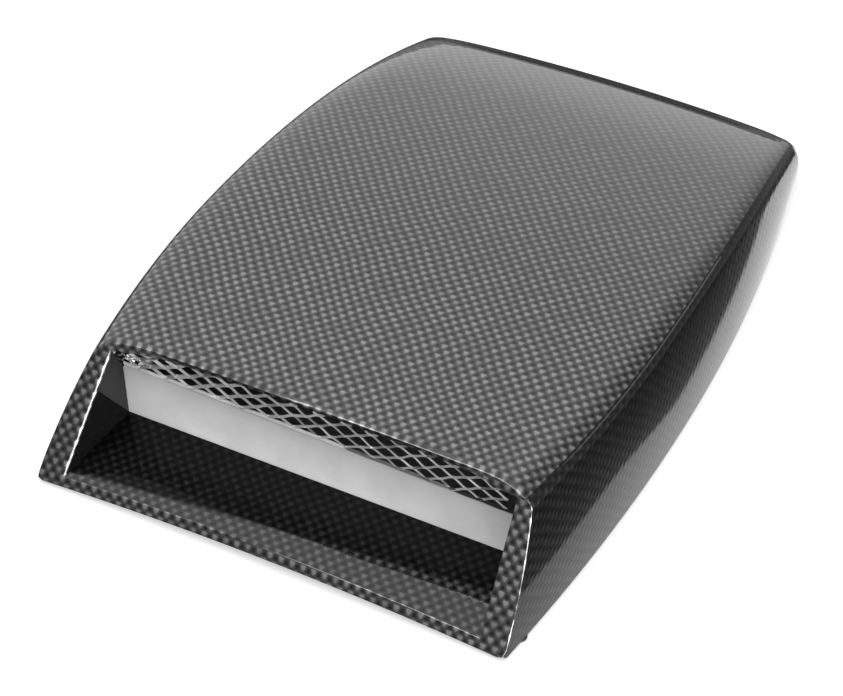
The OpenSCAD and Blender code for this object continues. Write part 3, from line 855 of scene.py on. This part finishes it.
def floor_material(name):
    """White paper. In glossy rays it glows as a painted reflection: a strip of lit paper along the right
    side, and dark beyond it.
    """
    m, nt, out = new_material(name)
    g = Net(nt)
    light_path = g.node("ShaderNodeLightPath")
    x, y, _ = g.split(g.node("ShaderNodeNewGeometry").outputs["Position"])
    diffuse = g.node("ShaderNodeBsdfDiffuse")
    diffuse.inputs["Color"].default_value = grey(PAPER)
    # under the moulding the paper is painted darker, as painted shade, and the white glow stops there
    beside = g.sub(g.math("ABSOLUTE", x), g.ramp(y, 0.08, 0.165, 0.1085, 0.0885, smooth=False))
    within = g.mul(g.ramp(y, -0.168, -0.15), g.ramp(y, 0.16, 0.168, 1.0, 0.0))
    under = g.mul(g.ramp(beside, -0.005, 0.0, 1.0, 0.0), within)
    shaded = g.node("ShaderNodeBsdfDiffuse")
    g.put(g.mix(under, grey(PAPER), grey(PAPER_PAINTED_SHADE)), shaded.inputs["Color"])
    glow = g.node("ShaderNodeEmission")
    glow.inputs["Color"].default_value = grey(1.0)
    g.put(g.mul(g.sub(1.0, under), PAPER_GLOW), glow.inputs["Strength"])
    seen = g.node("ShaderNodeAddShader")
    g.put(shaded.outputs[0], seen.inputs[0])
    g.put(glow.outputs[0], seen.inputs[1])
    # the strip's outer edge follows the moulding's right side, and it ends behind and at the front
    edge = g.add(g.ramp(y, -0.06, 0.0, 0.146, 0.135), g.ramp(y, 0.0, 0.144, 0.0, -0.004))
    edge = g.add(edge, g.ramp(y, 0.15, 0.21, 0.0, -0.02))
    strip = g.mul(g.ramp(g.sub(x, edge), -0.0025, 0.0025, 1.0, 0.0), g.ramp(x, 0.07, 0.09))
    strip = g.mul(strip, g.ramp(y, 0.19, 0.23, 1.0, 0.0))
    level = g.ramp(y, -0.15, 0.17, 0.85, 1.25, smooth=False)
    ahead = g.ramp(y, -0.3, -0.22, 0.55, 0.0)
    beyond = g.add(g.ramp(y, -0.1, 0.15, 0.1, 0.045), g.ramp(y, 0.24, 0.32, 0.0, 0.22))
    mirror = g.node("ShaderNodeEmission")
    mirror.inputs["Color"].default_value = grey(1.0)
    g.put(g.add(g.add(beyond, ahead), g.mul(strip, level)), mirror.inputs["Strength"])
    to_camera = g.mix_shader(light_path.outputs["Is Camera Ray"], diffuse.outputs[0], seen.outputs[0])
    whole = g.mix_shader(light_path.outputs["Is Glossy Ray"], to_camera, mirror.outputs[0])
    nt.links.new(whole, out.inputs[0])
    return m


FLOOR_HALF, FLOOR_CELLS = 6.0, 24
floor_mesh = bpy.data.meshes.new("floor")
n = FLOOR_CELLS + 1
ticks = np.linspace(-FLOOR_HALF, FLOOR_HALF, n)
floor_mesh.from_pydata([(x, y, 0.0) for x in ticks for y in ticks], [],
                       [(i * n + j, (i + 1) * n + j, (i + 1) * n + j + 1, i * n + j + 1)
                        for i in range(n - 1) for j in range(n - 1)])
floor_mesh.materials.append(floor_material("floor_paper"))
floor = bpy.data.objects.new("floor", floor_mesh)
bpy.context.scene.collection.objects.link(floor)


def studio(name):
    """A white surround; the gloss sees a bright rear half, a dimmer top and a dim front."""
    world = bpy.data.worlds.new(name)
    world.use_nodes = True
    nt = world.node_tree
    nt.nodes.clear()
    out = nt.nodes.new("ShaderNodeOutputWorld")
    g = Net(nt)
    light_path = g.node("ShaderNodeLightPath")
    background = g.node("ShaderNodeBackground")
    x, y, z = g.split(g.node("ShaderNodeTexCoord").outputs["Generated"])
    mirrored = g.ramp(y, -0.55, 0.6, 0.28, 0.93)
    mirrored = g.mul(mirrored, g.ramp(z, 0.03, 0.35, 1.4, 1.0))
    mirrored = g.mul(mirrored, g.ramp(z, 0.715, 0.755, 1.0, 1.25))
    # the rear right is dimmer, so the roof's right edge and the right wall's top stay dark
    right_side = g.mul(g.ramp(x, -0.16, 0.05), g.ramp(y, 0.2, 0.5))
    mirrored = g.mul(mirrored, g.sub(1.0, g.mul(right_side, 0.72)))
    plain = g.mixf(light_path.outputs["Is Glossy Ray"], 1.05, mirrored)
    g.put(g.mixf(light_path.outputs["Is Camera Ray"], plain, 1.0), background.inputs["Strength"])
    background.inputs["Color"].default_value = grey(1.0)
    nt.links.new(background.outputs[0], out.inputs[0])
    return world


bpy.context.scene.world = studio("studio")


def area(name, loc, long_side, sx, sy, power):
    """A lamp that the diffuse light leaves out, facing the origin, with its second side along long_side."""
    lamp = bpy.data.lights.new(name, "AREA")
    lamp.shape = "RECTANGLE"
    lamp.size, lamp.size_y, lamp.energy = sx, sy, power
    o = bpy.data.objects.new(name, lamp)
    back = Vector(loc).normalized()
    up = Vector(long_side)
    up = (up - back * up.dot(back)).normalized()
    turn = Matrix((up.cross(back), up, back)).transposed().to_4x4()
    turn.translation = Vector(loc)
    o.matrix_world = turn
    o.visible_diffuse = False
    bpy.context.scene.collection.objects.link(o)


area("edge", (1.6, -0.96, 0.72), (0, 0, 1), 1.5, 1.5, 150)
area("over", (-0.54, -0.45, 1.85), (0, 1, 0), 0.36, 2.0, 20)
area("crease", (0.87, 1.35, 1.12), (-0.25, 0.5, -0.25), 0.2, 1.0, 0.8)

# The photo's camera, fitted in the source's millimetres from the mouth's foot
PHOTO_W, FOCAL_PX, SENSOR = 843.0, 2543.62, 36.0
AZIMUTH, ELEVATION, ROLL = (math.radians(a) for a in (27.588, 42.423, -0.263))
CAMERA_X, CAMERA_D, CAMERA_Z = 381.994, -590.132, 759.330
cam = bpy.data.cameras.new("camera")
cam.sensor_fit = "HORIZONTAL"
cam.sensor_width = SENSOR
cam.lens = SENSOR * FOCAL_PX / PHOTO_W
cam.clip_start, cam.clip_end = 0.05, 50.0
camera = bpy.data.objects.new("camera", cam)
bpy.context.scene.collection.objects.link(camera)
ahead = np.array([-math.sin(AZIMUTH) * math.cos(ELEVATION), math.cos(AZIMUTH) * math.cos(ELEVATION),
                  -math.sin(ELEVATION)])
level = np.array([math.cos(AZIMUTH), math.sin(AZIMUTH), 0.0])
upward = np.cross(level, ahead)
turned = np.stack([math.cos(ROLL) * level + math.sin(ROLL) * upward,
                   -math.sin(ROLL) * level + math.cos(ROLL) * upward, -ahead], -1)
place = Matrix(turned.tolist()).to_4x4()
place.translation = (CAMERA_X / 1000, (CAMERA_D - BODY_LEN / 2) / 1000, (CAMERA_Z + TAPE_T) / 1000)
camera.matrix_world = place
bpy.context.scene.camera = camera
bpy.context.scene.view_settings.view_transform = "Standard"
